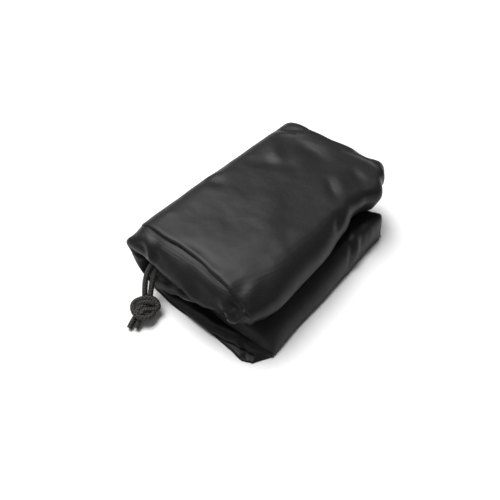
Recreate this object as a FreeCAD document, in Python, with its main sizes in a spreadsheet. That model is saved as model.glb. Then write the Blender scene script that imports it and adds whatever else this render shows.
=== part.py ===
"""Folded film changing bag in its drawstring pouch, as a parametric FreeCAD document, in millimetres.

The pouch is a flat tube of nylon with a drawstring casing at its mouth, stuffed with the folded changing bag and
then folded in two like a book. +Y runs from the mouth to the closed end, +X from the fold to the free edges, and +Z
is up, with the origin under the middle of the bundle. The lower half lies on the table and the upper half turns
about the fold.
"""

import FreeCAD
import Part
import Sketcher
import math
import os

from FreeCAD import Placement, Rotation, Vector

DIMENSIONS = [
    ("fold_x", -43.0, "place of the fold's axis across the bundle"),
    ("mouth_y", -87.0, "line where the pouch body ends and its casings begin"),
    ("half_thick", 27.0, "thickness of each stuffed half"),
    ("fold_gap", 4.0, "space between the two halves at the fold"),
    ("core_radius", 8.0, "room round the fold's axis, kept for the drawstring"),
    ("lower_width", 112.5, "lower half, from the fold's axis to its free edge"),
    ("lower_length", 163.5, "lower half, from the mouth line to its closed end"),
    ("upper_width", 105.0, "upper half, from the fold's axis to its free edge"),
    ("upper_length", 187.5, "upper half, from the mouth line to its closed end"),
    ("panel_wall", 0.8, "pouch cloth"),
    ("edge_round", 10.0, "rounding along a half's long edges"),
    ("corner_round", 16.0, "rounding of a half's closed corner"),
    ("part_gap", 1.0, "side gap between pieces that lie next to each other"),
    ("seam_lip", 2.5, "how far the sewn seam stands out"),
    ("seam_thick", 1.6, "two cloth edges sewn together"),
    ("casing_width", 16.0, "casing, from the mouth line to its outer edge"),
    ("casing_thick", 6.0, "casing, across its flat sides"),
    ("casing_wall", 0.6, "casing cloth"),
    ("outer_run", 17.0, "from the fold's axis to the outer casings' middle"),
    ("inner_run", 6.0, "from the fold's axis to the inner casings' middle"),
    ("lower_casing", 99.0, "from the fold's axis to the lower casings' far end"),
    ("upper_casing", 95.0, "from the fold's axis to the upper casings' far end"),
    ("cord_diameter", 4.5, "braided drawstring"),
    ("cloth_thick", 1.0, "one layer of the folded bag"),
    ("cloth_pitch", 2.0, "from one folded layer to the next"),
    ("layer_gap", 0.4, "space between two folded packs"),
    ("stuffing_room", 6.0, "how far the folded bag stops short of the mouth and of the upper half's free edge"),
    ("spine_pitch", 6.0, "from one layer to the next round the fold"),
    ("zip_length", 146.0, "straight stretch of zip in the bundle"),
    ("zip_spread", 22.0, "from the middle of the pocket to each zip"),
    ("tape_width", 11.0, "one zip tape"),
    ("tape_thick", 0.6, "zip tape"),
    ("tooth_pitch", 3.0, "from one zip tooth to the next"),
    ("tooth_width", 2.4, "zip tooth, across the zip"),
    ("tooth_thick", 1.8, "zip tooth, through the tape"),
    ("tooth_gap", 1.2, "slit between the two rows of teeth"),
    ("slider_length", 10.0, "zip slider, along the zip"),
    ("slider_width", 8.0, "zip slider, across the zip"),
    ("slider_plate", 1.0, "each plate of the slider"),
    ("slide_play", 0.4, "room between the slider and the teeth"),
    ("post_thick", 0.8, "post that joins the slider's plates"),
    ("bail_height", 3.2, "loop on the slider, above its plate"),
    ("bail_width", 1.8, "loop on the slider, across the zip"),
    ("bail_length", 7.0, "loop on the slider, along the zip"),
    ("bail_thick", 1.0, "loop on the slider"),
    ("pull_length", 17.0, "pull tab, from its pin bar to its tip"),
    ("pull_width", 6.0, "pull tab"),
    ("pull_thick", 1.2, "pull tab"),
    ("pull_slot", 3.0, "slot in the tab that clears the loop"),
    ("elastic_width", 10.0, "cuff elastic, along the sleeve"),
    ("elastic_thick", 1.2, "cuff elastic"),
    ("elastic_height", 7.0, "cuff elastic, lying flat"),
    ("cuff_inset", 3.0, "from a sleeve's end to its first elastic"),
    ("cuff_pitch", 40.0, "from the first elastic to the second"),
    ("knot_radius_x", 11.5, "knot, half its width"),
    ("knot_radius_y", 10.0, "knot, half its length"),
    ("knot_radius_z", 7.6, "knot, half its height"),
]

doc = FreeCAD.newDocument("changing_bag")
sheet = doc.addObject("Spreadsheet::Sheet", "dims")
for row, (alias, value, note) in enumerate(DIMENSIONS, start=1):
    sheet.set(f"A{row}", note)
    sheet.set(f"B{row}", str(value))
    sheet.setAlias(f"B{row}", alias)
doc.recompute()

D = {alias: float(sheet.get(alias)) for alias, _, _ in DIMENSIONS}
FOLD_Z = "(dims.half_thick + dims.fold_gap / 2)"
fold_z = D["half_thick"] + D["fold_gap"] / 2
EPS = 1.0  # how far a cutting tool runs past an open side
pieces = []  # the document objects that are sub-parts, in the order they were made


def keep(thing, label):
    """Names a finished sub-part and adds it to those that are written out."""
    thing.Label = label
    pieces.append(thing)
    return thing


def place(thing, x, y, z):
    """Binds a thing's place to expressions."""
    for axis, text in zip("xyz", (x, y, z), strict=True):
        thing.setExpression(f".Placement.Base.{axis}", text)
    return thing


def box(name, size, at):
    """A Part box with its three sizes and its low corner bound to expressions."""
    made = doc.addObject("Part::Box", name)
    for side, text in zip(("Length", "Width", "Height"), size, strict=True):
        made.setExpression(side, text)
    return place(made, *at)


def cylinder(name, radius, height, at, angle=360, turn=None):
    """A Part cylinder, turned as asked."""
    made = doc.addObject("Part::Cylinder", name)
    made.setExpression("Radius", radius)
    made.setExpression("Height", height)
    made.Angle = angle
    if turn:
        made.Placement = Placement(Vector(), turn)
    return place(made, *at)


def cut(name, base, tool):
    made = doc.addObject("Part::Cut", name)
    made.Base = base
    made.Tool = tool
    return made


def fillet(name, base, choose):
    """Rounds the edges for which choose(edge) gives a radius."""
    doc.recompute()
    made = doc.addObject("Part::Fillet", name)
    made.Base = base
    picked = [(i, choose(e)) for i, e in enumerate(base.Shape.Edges, start=1)]
    made.Edges = [(i, radius, radius) for i, radius in picked if radius]
    return made


def feature(name, shape, at=(0, 0, 0)):
    """A Part feature whose shape is worked out here from the sheet's values."""
    made = doc.addObject("Part::Feature", name)
    made.Shape = shape
    made.Placement = Placement(Vector(*at), Rotation())
    return keep(made, name)


# ---- The pouch's four panels and its two sewn seams ----


def rounded_block(name, size, at, corner, edge, edge_up):
    """A block with its free closed corner rounded, and its long free edges too where edge isn't 0."""
    block = box(name + "_block", size, at)
    doc.recompute()
    limits = block.Shape.BoundBox
    level = limits.ZMax if edge_up else limits.ZMin

    def radius(e):
        b = e.BoundBox
        upright = b.ZLength > 0.5 * limits.ZLength
        if upright:
            far_corner = b.XMin > limits.XMax - 0.01 and b.YMin > limits.YMax - 0.01
            return corner if far_corner else 0
        at_level = abs(b.ZMin - level) < 0.01
        free_side = b.XMin > limits.XMax - 0.01 or b.YMin > limits.YMax - 0.01
        return edge if at_level and free_side else 0

    return fillet(name + "_round", block, radius)


def panel(label, width, length, start, bottom, edge_up, mouth_wall):
    """Half of a stuffed half's skin: a tray, open on the fold side and where it meets its partner.

    An outer panel has a wall at the mouth, where its cloth turns in to the casing. An inner panel is open there.
    """
    depth = "dims.half_thick / 2"
    at = (f"dims.fold_x + {start}", "dims.mouth_y", bottom)
    outer = rounded_block(
        label + "_outer",
        (f"{width} - {start}", length, depth),
        at,
        D["corner_round"],
        D["edge_round"],
        edge_up,
    )
    shift = f"- {EPS}" if edge_up else "+ dims.panel_wall"
    behind = "+ dims.panel_wall" if mouth_wall else f"- {EPS}"
    inner = rounded_block(
        label + "_inner",
        (
            f"{width} - {start} + {EPS} - dims.panel_wall",
            f"{length} - dims.panel_wall - (0 {behind})",
            f"{depth} + {EPS} - dims.panel_wall",
        ),
        (f"{at[0]} - {EPS}", f"{at[1]} {behind}", f"{bottom} {shift}"),
        D["corner_round"] - D["panel_wall"],
        D["edge_round"] - D["panel_wall"],
        edge_up,
    )
    keep(cut(label, outer, inner), label)


def seam(label, width, length, start, middle):
    """The sewn lip along a half's free edge and closed end."""
    bottom = f"{middle} - dims.seam_thick / 2"
    at = (f"dims.fold_x + {start}", "dims.mouth_y", bottom)
    outer = rounded_block(
        label + "_outer",
        (
            f"{width} - {start} + dims.seam_lip",
            f"{length} + dims.seam_lip",
            "dims.seam_thick",
        ),
        at,
        D["corner_round"] + D["seam_lip"],
        0,
        False,
    )
    inner = rounded_block(
        label + "_inner",
        (f"{width} - {start} + {EPS}", f"{length} + {EPS}", f"dims.seam_thick + 2 * {EPS}"),
        (f"{at[0]} - {EPS}", f"{at[1]} - {EPS}", f"{bottom} - {EPS}"),
        D["corner_round"],
        0,
        False,
    )
    keep(cut(label, outer, inner), label)


UPPER_Z = "dims.half_thick + dims.fold_gap"
MID_LOWER = "dims.half_thick / 2"
MID_UPPER = f"{UPPER_Z} + dims.half_thick / 2"
for label, half, start, bottom, edge_up in (
    ("outer_panel_lower", "lower", "0", "0", False),
    ("inner_panel_lower", "lower", "dims.part_gap", MID_LOWER, True),
    ("inner_panel_upper", "upper", "dims.core_radius", UPPER_Z, False),
    ("outer_panel_upper", "upper", "dims.part_gap", MID_UPPER, True),
):
    sizes = (f"dims.{half}_width", f"dims.{half}_length")
    panel(label, *sizes, start, bottom, edge_up, mouth_wall=label.startswith("outer"))
seam("side_seam_lower", "dims.lower_width", "dims.lower_length", "dims.part_gap", MID_LOWER)
seam("side_seam_upper", "dims.upper_width", "dims.upper_length", "dims.core_radius", MID_UPPER)


# ---- The skin and the layers that bend round the fold ----

ALONG_Y = Rotation(Vector(1, 0, 0), -90)  # turns a cylinder's own Z to +Y, with its half turn over the top
FOLD_SIDE = Rotation(Vector(0, 1, 0), 90) * ALONG_Y


def half_ring(name, outer, inner, start_y, length):
    """Half a tube round the fold's axis, on the side away from the halves."""
    at = ("dims.fold_x", start_y, FOLD_Z)
    drum = cylinder(name + "_drum", outer, length, at, 180, FOLD_SIDE)
    bore_at = ("dims.fold_x", f"{start_y} - {EPS}", FOLD_Z)
    bore = cylinder(name + "_bore", inner, f"{length} + 2 * {EPS}", bore_at, 360, FOLD_SIDE)
    return cut(name, drum, bore)


def slanted_end(name, inset):
    """A block beyond a plane that runs up from the lower half's closed end to the upper half's.

    The inset moves it in, towards the mouth.
    """
    reach, drop = 5 * fold_z, fold_z
    lean = (D["upper_length"] - D["lower_length"]) / (2 * fold_z)
    block = doc.addObject("Part::Box", name)
    block.Length, block.Width, block.Height = reach, reach, reach
    block.Placement = Placement(Vector(), Rotation(Vector(1, 0, 0), -math.degrees(math.atan(lean))))
    end = f"dims.mouth_y + dims.lower_length - {inset} * {math.sqrt(1 + lean**2)} - {drop * lean}"
    return place(block, f"dims.fold_x - {reach / 2}", end, f"{-drop}")


MIDDLE_RADIUS = "(dims.half_thick / 2 + dims.fold_gap / 2)"
skin = half_ring("spine_skin", FOLD_Z, MIDDLE_RADIUS, "dims.mouth_y", "dims.upper_length")
room = half_ring(
    "spine_room",
    f"({FOLD_Z} - dims.panel_wall)",
    f"({MIDDLE_RADIUS} - {EPS})",
    "dims.mouth_y + dims.panel_wall",
    "dims.upper_length",
)
outside_end = slanted_end("outside_end", "0")
inside_end = slanted_end("inside_end", "dims.panel_wall")
cloth_end = slanted_end("cloth_end", "(dims.panel_wall + dims.part_gap)")
keep(
    cut(
        "outer_panel_spine",
        cut("spine_skin_end", skin, outside_end),
        cut("spine_room_end", room, inside_end),
    ),
    "outer_panel_spine",
)
for turn, label in enumerate(("chamber_lining_spine", "chamber_cloth_spine"), start=1):
    outside = f"({FOLD_Z} - {3 - turn} * dims.spine_pitch)"
    layer = half_ring(
        label + "_layer",
        outside,
        f"{outside} - dims.cloth_thick",
        "dims.mouth_y + dims.part_gap",
        "dims.upper_length",
    )
    keep(cut(label, layer, cloth_end), label)


def hairpin_face(gap, wall, lower_leg, upper_leg):
    """The inner panel's tight turn at the fold, seen along Y: two legs joined round the gap."""
    inner, outer = gap / 2, gap / 2 + wall
    corners = {
        "low_out": Vector(lower_leg, 0, -outer),
        "low_in": Vector(lower_leg, 0, -inner),
        "up_out": Vector(upper_leg, 0, outer),
        "up_in": Vector(upper_leg, 0, inner),
    }
    edges = [
        Part.LineSegment(corners["low_out"], Vector(0, 0, -outer)),
        Part.Arc(Vector(0, 0, -outer), Vector(-outer, 0, 0), Vector(0, 0, outer)),
        Part.LineSegment(Vector(0, 0, outer), corners["up_out"]),
        Part.LineSegment(corners["up_out"], corners["up_in"]),
        Part.LineSegment(corners["up_in"], Vector(0, 0, inner)),
        Part.Arc(Vector(0, 0, inner), Vector(-inner, 0, 0), Vector(0, 0, -inner)),
        Part.LineSegment(Vector(0, 0, -inner), corners["low_in"]),
        Part.LineSegment(corners["low_in"], corners["low_out"]),
    ]
    return Part.Face(Part.Wire([e.toShape() for e in edges]))


slack_end = D["mouth_y"] + 15.0  # the drawstring's spare length reaches this far in
crease_start = slack_end + 6.0
crease_length = D["mouth_y"] + D["upper_length"] - crease_start
doc.recompute()
crease = hairpin_face(D["fold_gap"], D["panel_wall"], D["part_gap"], D["core_radius"])
crease = crease.extrude(Vector(0, crease_length, 0))
crease.translate(Vector(D["fold_x"], crease_start, fold_z))
end_wall = half_ring("end_wall", MIDDLE_RADIUS, "dims.fold_gap / 2", "dims.mouth_y", "dims.upper_length")
doc.recompute()
end_wall = end_wall.Shape.common(inside_end.Shape)
feature("inner_panel_spine", crease.fuse(end_wall).cut(outside_end.Shape).removeSplitter())


# ---- The drawstring casings and the cord inside them ----


def sketch_on(body, plane, name):
    """A sketch on one of a body's own origin planes."""
    made = body.newObject("Sketcher::SketchObject", name)
    base = next(f for f in body.Origin.OriginFeatures if f.Role == plane)
    made.AttachmentSupport = [(base, "")]
    made.MapMode = "FlatFace"
    return made


def bind(sketch, constraint, expression):
    """Adds a dimension to a sketch and binds it."""
    index = sketch.addConstraint(constraint)
    sketch.renameConstraint(index, f"size{index}")
    sketch.setExpression(f"Constraints.size{index}", expression)


def slot(sketch, width, height, guess):
    """A flat slot with round ends, centred on the sketch's origin: width over all, height across."""
    half, radius = guess[0] / 2 - guess[1] / 2, guess[1] / 2
    first = sketch.GeometryCount
    turn = math.pi / 2
    circle = [Part.Circle(Vector(x, 0, 0), Vector(0, 0, 1), radius) for x in (-half, half)]
    sketch.addGeometry(
        [
            Part.ArcOfCircle(circle[0], turn, 3 * turn),
            Part.ArcOfCircle(circle[1], -turn, turn),
            Part.LineSegment(Vector(-half, -radius, 0), Vector(half, -radius, 0)),
            Part.LineSegment(Vector(half, radius, 0), Vector(-half, radius, 0)),
        ],
        False,
    )
    left, right, low, high = range(first, first + 4)
    for a, end_a, b, end_b in (
        (left, 2, low, 1),
        (low, 2, right, 1),
        (right, 2, high, 1),
        (high, 2, left, 1),
    ):
        sketch.addConstraint(Sketcher.Constraint("Tangent", a, end_a, b, end_b))
    sketch.addConstraint(Sketcher.Constraint("Symmetric", left, 3, right, 3, -1, 1))
    sketch.addConstraint(Sketcher.Constraint("PointOnObject", left, 3, -1))
    bind(sketch, Sketcher.Constraint("Radius", left, radius), f"({height}) / 2")
    bind(sketch, Sketcher.Constraint("DistanceX", left, 3, right, 3, 2 * half), f"({width}) - ({height})")


def flat_tube(label, plane, width, height, wall, length, at, guess):
    """A flattened tube: a slot-shaped ring padded along its plane's normal."""
    body = doc.addObject("PartDesign::Body", label)
    ring = sketch_on(body, plane, label + "_ring")
    slot(ring, width, height, guess[:2])
    slot(ring, f"{width} - 2 * {wall}", f"{height} - 2 * {wall}", [g - 2 * guess[2] for g in guess[:2]])
    pad = body.newObject("PartDesign::Pad", label + "_pad")
    pad.Profile = ring
    pad.setExpression("Length", length)
    ring.Visibility = False
    return keep(place(body, *at), label)


CASING_Y = "dims.mouth_y - dims.casing_width / 2"
casing_guess = (D["casing_width"], D["casing_thick"], D["casing_wall"])
for label, side, run, start, far in (
    ("outer_casing_lower", "-", "dims.outer_run", "0", "dims.lower_casing"),
    ("inner_casing_lower", "-", "dims.inner_run", "dims.core_radius", "dims.lower_casing"),
    ("inner_casing_upper", "+", "dims.inner_run", "dims.core_radius", "dims.upper_casing"),
    ("outer_casing_upper", "+", "dims.outer_run", "dims.part_gap", "dims.upper_casing"),
):
    flat_tube(
        label,
        "YZ_Plane",
        "dims.casing_width",
        "dims.casing_thick",
        "dims.casing_wall",
        f"{far} - {start}",
        (f"dims.fold_x + {start}", CASING_Y, f"{FOLD_Z} {side} {run}"),
        casing_guess,
    )


def slot_face(width, height, centre):
    """A slot-shaped face in the plane of Y and Z."""
    half, radius = width / 2 - height / 2, height / 2

    def at(y, z):
        return centre + Vector(0, y, z)

    edges = [
        Part.Arc(at(-half, radius), at(-half - radius, 0), at(-half, -radius)),
        Part.LineSegment(at(-half, -radius), at(half, -radius)),
        Part.Arc(at(half, -radius), at(half + radius, 0), at(half, radius)),
        Part.LineSegment(at(half, radius), at(-half, radius)),
    ]
    return Part.Face(Part.Wire([e.toShape() for e in edges]))


def half_turn(face, way):
    """Turns a face that stands under the Y axis half round it: way is 1 over the -X side and -1 over +X."""
    return face.revolve(Vector(), Vector(0, way, 0), 180)


def casing_bend(label, radius, way, at):
    """A piece of casing that goes half round a line along Y."""
    centre = Vector(0, 0, -radius)
    wide, high, both_walls = D["casing_width"], D["casing_thick"], 2 * D["casing_wall"]
    skin = half_turn(slot_face(wide, high, centre), way)
    hollow = half_turn(slot_face(wide - both_walls, high - both_walls, centre), way)
    feature(label, skin.cut(hollow), at)


casing_middle = D["mouth_y"] - D["casing_width"] / 2
mean_run = (D["outer_run"] + D["inner_run"]) / 2
end_radius = (D["outer_run"] - D["inner_run"]) / 2
fold_line = (D["fold_x"], casing_middle, fold_z)
casing_bend("outer_casing_spine", D["outer_run"], 1, fold_line)
casing_bend(
    "casing_end_lower", end_radius, -1, (D["fold_x"] + D["lower_casing"], casing_middle, fold_z - mean_run)
)
casing_bend(
    "casing_end_upper", end_radius, -1, (D["fold_x"] + D["upper_casing"], casing_middle, fold_z + mean_run)
)
below = Vector(0, 0, -D["outer_run"])
cord_disc = Part.Face(Part.Wire(Part.makeCircle(D["cord_diameter"] / 2, below, Vector(1, 0, 0))))
feature("drawstring_run_spine", half_turn(cord_disc, 1), fold_line)


def cord_run(label, side, back, far):
    """The drawstring inside one half: out along the inner casing, round and back along the outer one.

    It ends short of the fold's axis by the distance called back.
    """
    body = doc.addObject("PartDesign::Body", label)
    path = sketch_on(body, "XZ_Plane", label + "_path")
    inner, outer, reach = D["inner_run"], D["outer_run"], D[far] - D["core_radius"]
    overrun = back - D["core_radius"]
    middle, radius = (inner + outer) / 2, (outer - inner) / 2
    turn = math.pi / 2
    bend = Part.Circle(Vector(reach, middle, 0), Vector(0, 0, 1), radius)
    path.addGeometry(
        [
            Part.LineSegment(Vector(0, inner, 0), Vector(reach, inner, 0)),
            Part.ArcOfCircle(bend, -turn, turn),
            Part.LineSegment(Vector(reach, outer, 0), Vector(overrun, outer, 0)),
        ],
        False,
    )
    path.addConstraint(Sketcher.Constraint("Tangent", 0, 2, 1, 1))
    path.addConstraint(Sketcher.Constraint("Tangent", 1, 2, 2, 1))
    path.addConstraint(Sketcher.Constraint("Horizontal", 0))
    path.addConstraint(Sketcher.Constraint("PointOnObject", 0, 1, -2))
    bind(path, Sketcher.Constraint("DistanceY", -1, 1, 0, 1, inner), "dims.inner_run")
    bind(path, Sketcher.Constraint("DistanceX", 0, 1, 0, 2, reach), f"dims.{far} - dims.core_radius")
    bind(path, Sketcher.Constraint("DistanceX", 2, 2, 0, 1, -overrun), f"dims.core_radius - {back}")
    bind(path, Sketcher.Constraint("Radius", 1, radius), "(dims.outer_run - dims.inner_run) / 2")
    ring = sketch_on(body, "YZ_Plane", label + "_ring")
    ring.addGeometry(Part.Circle(Vector(0, inner, 0), Vector(0, 0, 1), D["cord_diameter"] / 2), False)
    ring.addConstraint(Sketcher.Constraint("PointOnObject", 0, 3, -2))
    bind(ring, Sketcher.Constraint("DistanceY", -1, 1, 0, 3, inner), "dims.inner_run")
    bind(ring, Sketcher.Constraint("Radius", 0, D["cord_diameter"] / 2), "dims.cord_diameter / 2")
    doc.recompute()
    pipe = body.newObject("PartDesign::AdditivePipe", label + "_pipe")
    pipe.Profile = ring
    pipe.Spine = (path, ["Edge1", "Edge2", "Edge3"])
    if side == "-":
        body.Placement = Placement(Vector(), Rotation(Vector(1, 0, 0), 180))
    place(body, "dims.fold_x + dims.core_radius", CASING_Y, FOLD_Z)
    return keep(body, label)


cord_run("drawstring_run_lower", "-", 0.0, "lower_casing")
cord_run("drawstring_run_upper", "+", D["part_gap"], "upper_casing")


# ---- The changing bag, folded ----


def folded_cloth(layers, run, thick, pitch):
    """A strip of cloth folded to and fro along Y, seen along X: its outline as one face."""
    gap = pitch - thick
    there, back = [], []
    for k in range(layers):
        low, high = k * pitch, k * pitch + thick
        ends = (0.0, run) if k % 2 == 0 else (run, 0.0)
        going, coming = (low, high) if k % 2 == 0 else (high, low)
        there.append(Part.LineSegment(Vector(0, ends[0], going), Vector(0, ends[1], going)))
        back.append(Part.LineSegment(Vector(0, ends[0], coming), Vector(0, ends[1], coming)))
        if k < layers - 1:
            y, way = (run, 1) if k % 2 == 0 else (0.0, -1)
            middle = high + gap / 2
            wide, tight = pitch / 2 + thick / 2, gap / 2
            outside = Part.Arc(Vector(0, y, low), Vector(0, y + way * wide, middle), Vector(0, y, high + gap + thick))
            inside = Part.Arc(Vector(0, y, high), Vector(0, y + way * tight, middle), Vector(0, y, high + gap))
            there.append(outside if k % 2 == 0 else inside)
            back.append(inside if k % 2 == 0 else outside)
    start = Part.LineSegment(back[0].StartPoint, there[0].StartPoint)
    finish = Part.LineSegment(there[-1].EndPoint, back[-1].EndPoint)
    edges = [start, *there, finish, *reversed(back)]
    return Part.Face(Part.Wire(Part.__sortEdges__([e.toShape() for e in edges])))


def pack_of_cloth(label, layers, x, y, z, width, run):
    """A folded strip as a solid, padded across the bundle."""
    face = folded_cloth(layers, run, D["cloth_thick"], D["cloth_pitch"])
    feature(label, face.extrude(Vector(width, 0, 0)), (x, y, z))
    return z + (layers - 1) * D["cloth_pitch"] + D["cloth_thick"]


turn_room = D["cloth_pitch"] / 2 + D["cloth_thick"] / 2 + D["part_gap"]
inset = D["edge_round"]  # keeps the packs out of the rounded edges
pack_x = D["fold_x"] + D["part_gap"] * 2
pack_y = D["mouth_y"] + D["stuffing_room"] + turn_room
lower_run = D["lower_length"] - D["panel_wall"] - D["stuffing_room"] - 2 * turn_room
lower_pack = D["lower_width"] - D["panel_wall"] - inset - D["part_gap"] * 2
floor_z = D["panel_wall"] + D["layer_gap"]
run_in = lower_run - inset
top = pack_of_cloth("chamber_cloth_lower", 3, pack_x, pack_y, floor_z, lower_pack, run_in)
zip_floor = pack_of_cloth("chamber_lining_lower", 3, pack_x, pack_y, top + D["layer_gap"], lower_pack, run_in)

upper_floor = D["half_thick"] + D["fold_gap"] + D["panel_wall"] + D["layer_gap"]
upper_x = D["fold_x"] + D["core_radius"] + D["part_gap"]
upper_pack = D["upper_width"] - D["panel_wall"] - D["core_radius"] - D["part_gap"] - inset - D["stuffing_room"]
upper_run = D["upper_length"] - D["panel_wall"] - D["stuffing_room"] - 2 * turn_room - inset
sleeve_width = (upper_pack - D["part_gap"]) / 2
sleeve_top = 0.0
for side, label in enumerate(("left", "right")):
    sleeve_x = upper_x + side * (sleeve_width + D["part_gap"])
    sleeve_top = pack_of_cloth(
        f"{label}_sleeve", 4, sleeve_x, pack_y, upper_floor, sleeve_width, upper_run
    )
    for number, name in enumerate(("wrist", "arm")):
        ring_y = f"{pack_y} + dims.cuff_inset + {number} * dims.cuff_pitch + dims.elastic_width"
        flat_tube(
            f"{label}_{name}_elastic",
            "XZ_Plane",
            f"{sleeve_width - 2 * D['part_gap']}",
            "dims.elastic_height",
            "dims.elastic_thick",
            "dims.elastic_width",
            (
                f"{sleeve_x + sleeve_width / 2}",
                ring_y,
                f"{sleeve_top + D['layer_gap']} + dims.elastic_height / 2",
            ),
            (sleeve_width - 2 * D["part_gap"], D["elastic_height"], D["elastic_thick"]),
        )
cover_z = sleeve_top + D["layer_gap"] + D["elastic_height"] + D["layer_gap"]
pack_of_cloth("chamber_cloth_upper", 3, upper_x, pack_y, cover_z, upper_pack, upper_run)


# ---- The two zips, side by side in the pocket above the lower half's folded cloth ----

slider_depth = D["tooth_thick"] + 2 * D["slide_play"]
zip_z = zip_floor + D["layer_gap"] + D["slider_plate"] + slider_depth / 2  # the zips' middle plane
zip_y = D["mouth_y"] + turn_room
pocket_x = D["fold_x"] + (D["lower_width"] - inset) / 2 + D["part_gap"]
tooth_count = int((D["zip_length"] - 2 * D["tooth_pitch"]) // D["tooth_pitch"])
tooth_length = D["tooth_pitch"] / 2


def zip_fixed(name, x):
    """One zip's tapes, teeth and stops, about its middle line at x."""
    inside = D["tooth_gap"] / 2 + D["tooth_width"]
    for side, way in (("left", -1), ("right", 1)):
        low_x = x + inside if way > 0 else x - inside - D["tape_width"]
        box_name = f"{name}_zip_tape_{side}"
        tape = box(
            box_name,
            ("dims.tape_width", "dims.zip_length", "dims.tape_thick"),
            (f"{low_x}", f"{zip_y}", f"{zip_z} - dims.tape_thick / 2"),
        )
        keep(tape, box_name)
    teeth, stops = [], []
    for way in (-1, 1):
        low_x = x + D["tooth_gap"] / 2 if way > 0 else x - inside
        for k in range(tooth_count):
            y = zip_y + (k + 1) * D["tooth_pitch"]
            teeth.append(
                Part.makeBox(
                    D["tooth_width"],
                    tooth_length,
                    D["tooth_thick"],
                    Vector(low_x, y, zip_z - D["tooth_thick"] / 2),
                )
            )
        for y in (zip_y, zip_y + (tooth_count + 1) * D["tooth_pitch"]):
            stops.append(
                Part.makeBox(
                    D["tooth_width"],
                    tooth_length,
                    slider_depth,
                    Vector(low_x, y, zip_z - slider_depth / 2),
                )
            )
    feature(f"{name}_zip_teeth", Part.makeCompound(teeth))
    feature(f"{name}_zip_stops", Part.makeCompound(stops))


def slider(name, x, y):
    """A zip slider: two plates on a thin post, with a loop on top for the pull."""
    depth = "(dims.tooth_thick + 2 * dims.slide_play)"

    def block(part, size, low):
        corner = (f"{x} - ({size[0]}) / 2", f"{y} - ({size[1]}) / 2", f"{zip_z} + {low}")
        return box(f"{name}_{part}", size, corner)

    plate = ("dims.slider_width", "dims.slider_length", "dims.slider_plate")
    arch = ("dims.bail_width", "dims.bail_length", "dims.bail_height")
    eye = (
        f"dims.bail_width + 2 * {EPS}",
        "dims.bail_length - 2 * dims.bail_thick",
        f"dims.bail_height + {EPS} - dims.bail_thick",
    )
    top = f"{depth} / 2 + dims.slider_plate"
    bail = cut(f"{name}_bail", block("arch", arch, top), block("eye", eye, f"{top} - {EPS}"))
    joined = doc.addObject("Part::MultiFuse", name)
    joined.Shapes = [
        block("lower_plate", plate, f"(0 - {depth} / 2 - dims.slider_plate)"),
        block("post", ("dims.post_thick", "dims.slider_length", depth), f"(0 - {depth} / 2)"),
        block("upper_plate", plate, f"{depth} / 2"),
        bail,
    ]
    return keep(joined, name)


def pull(name, x, y):
    """A pull tab: a bar under the slider's loop, two arms beside it and the tab."""
    wide, thick, slot_wide = D["pull_width"], D["pull_thick"], D["pull_slot"]
    bar = thick
    plate_top = zip_z + slider_depth / 2 + D["slider_plate"]
    slot_end = D["bail_length"] / 2 + D["part_gap"]
    tab = Part.makeBox(wide, D["pull_length"] + bar / 2, thick, Vector(-wide / 2, -bar / 2, 0))
    window = Part.makeBox(
        slot_wide, slot_end - bar / 2, thick + 2 * EPS, Vector(-slot_wide / 2, bar / 2, -EPS)
    )
    tip = [
        e
        for e in tab.Edges
        if e.BoundBox.ZLength > thick / 2 and e.BoundBox.YMin > D["pull_length"] - 0.01
    ]
    shape = tab.makeFillet(wide / 2 - 0.2, tip).cut(window)
    return feature(name, shape, (x, y, plate_top + D["slide_play"]))


for name, way in (("outer", -1), ("inner", 1)):
    zip_x = pocket_x + way * D["zip_spread"]
    zip_fixed(name, zip_x)
    slider_y = zip_y + 2 * D["tooth_pitch"] + D["slider_length"] / 2
    slider(f"{name}_zip_slider", zip_x, slider_y)
    pull(f"{name}_zip_pull", zip_x, slider_y)


# ---- The free ends of the drawstring, tied together ----


def tube_route(points, radius):
    """A round cord along straight runs joined by tangent arcs, each as large as its two runs allow."""
    points = [Vector(*p) for p in points]
    edges, radii, start = [], [], points[0]
    for before, corner, after in zip(points, points[1:], points[2:]):
        a, b = before - corner, after - corner
        half_turn = (math.pi - a.getAngle(b)) / 2
        back = 0.45 * min(a.Length, b.Length)
        radii.append(back / math.tan(half_turn))
        enter = corner + Vector(a).normalize() * back
        leave = corner + Vector(b).normalize() * back
        inward = (Vector(a).normalize() + Vector(b).normalize()).normalize()
        sagitta = radii[-1] * (1 / math.cos(half_turn) - 1)
        edges.append(Part.LineSegment(start, enter).toShape())
        edges.append(Part.Arc(enter, corner + inward * sagitta, leave).toShape())
        start = leave
    edges.append(Part.LineSegment(start, points[-1]).toShape())
    path = Part.Wire(edges)
    disc = Part.Wire(Part.makeCircle(radius, points[0], points[1] - points[0]))
    tube = path.makePipeShell([disc], True, False)
    share = tube.Volume / (math.pi * radius**2 * path.Length)
    if abs(share - 1) > 0.01:
        raise ValueError(f"a cord's tube has {share:.3f} of its volume")
    print("cord", round(path.Length, 1), "mm, radii", [round(r, 1) for r in radii])
    return tube


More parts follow.
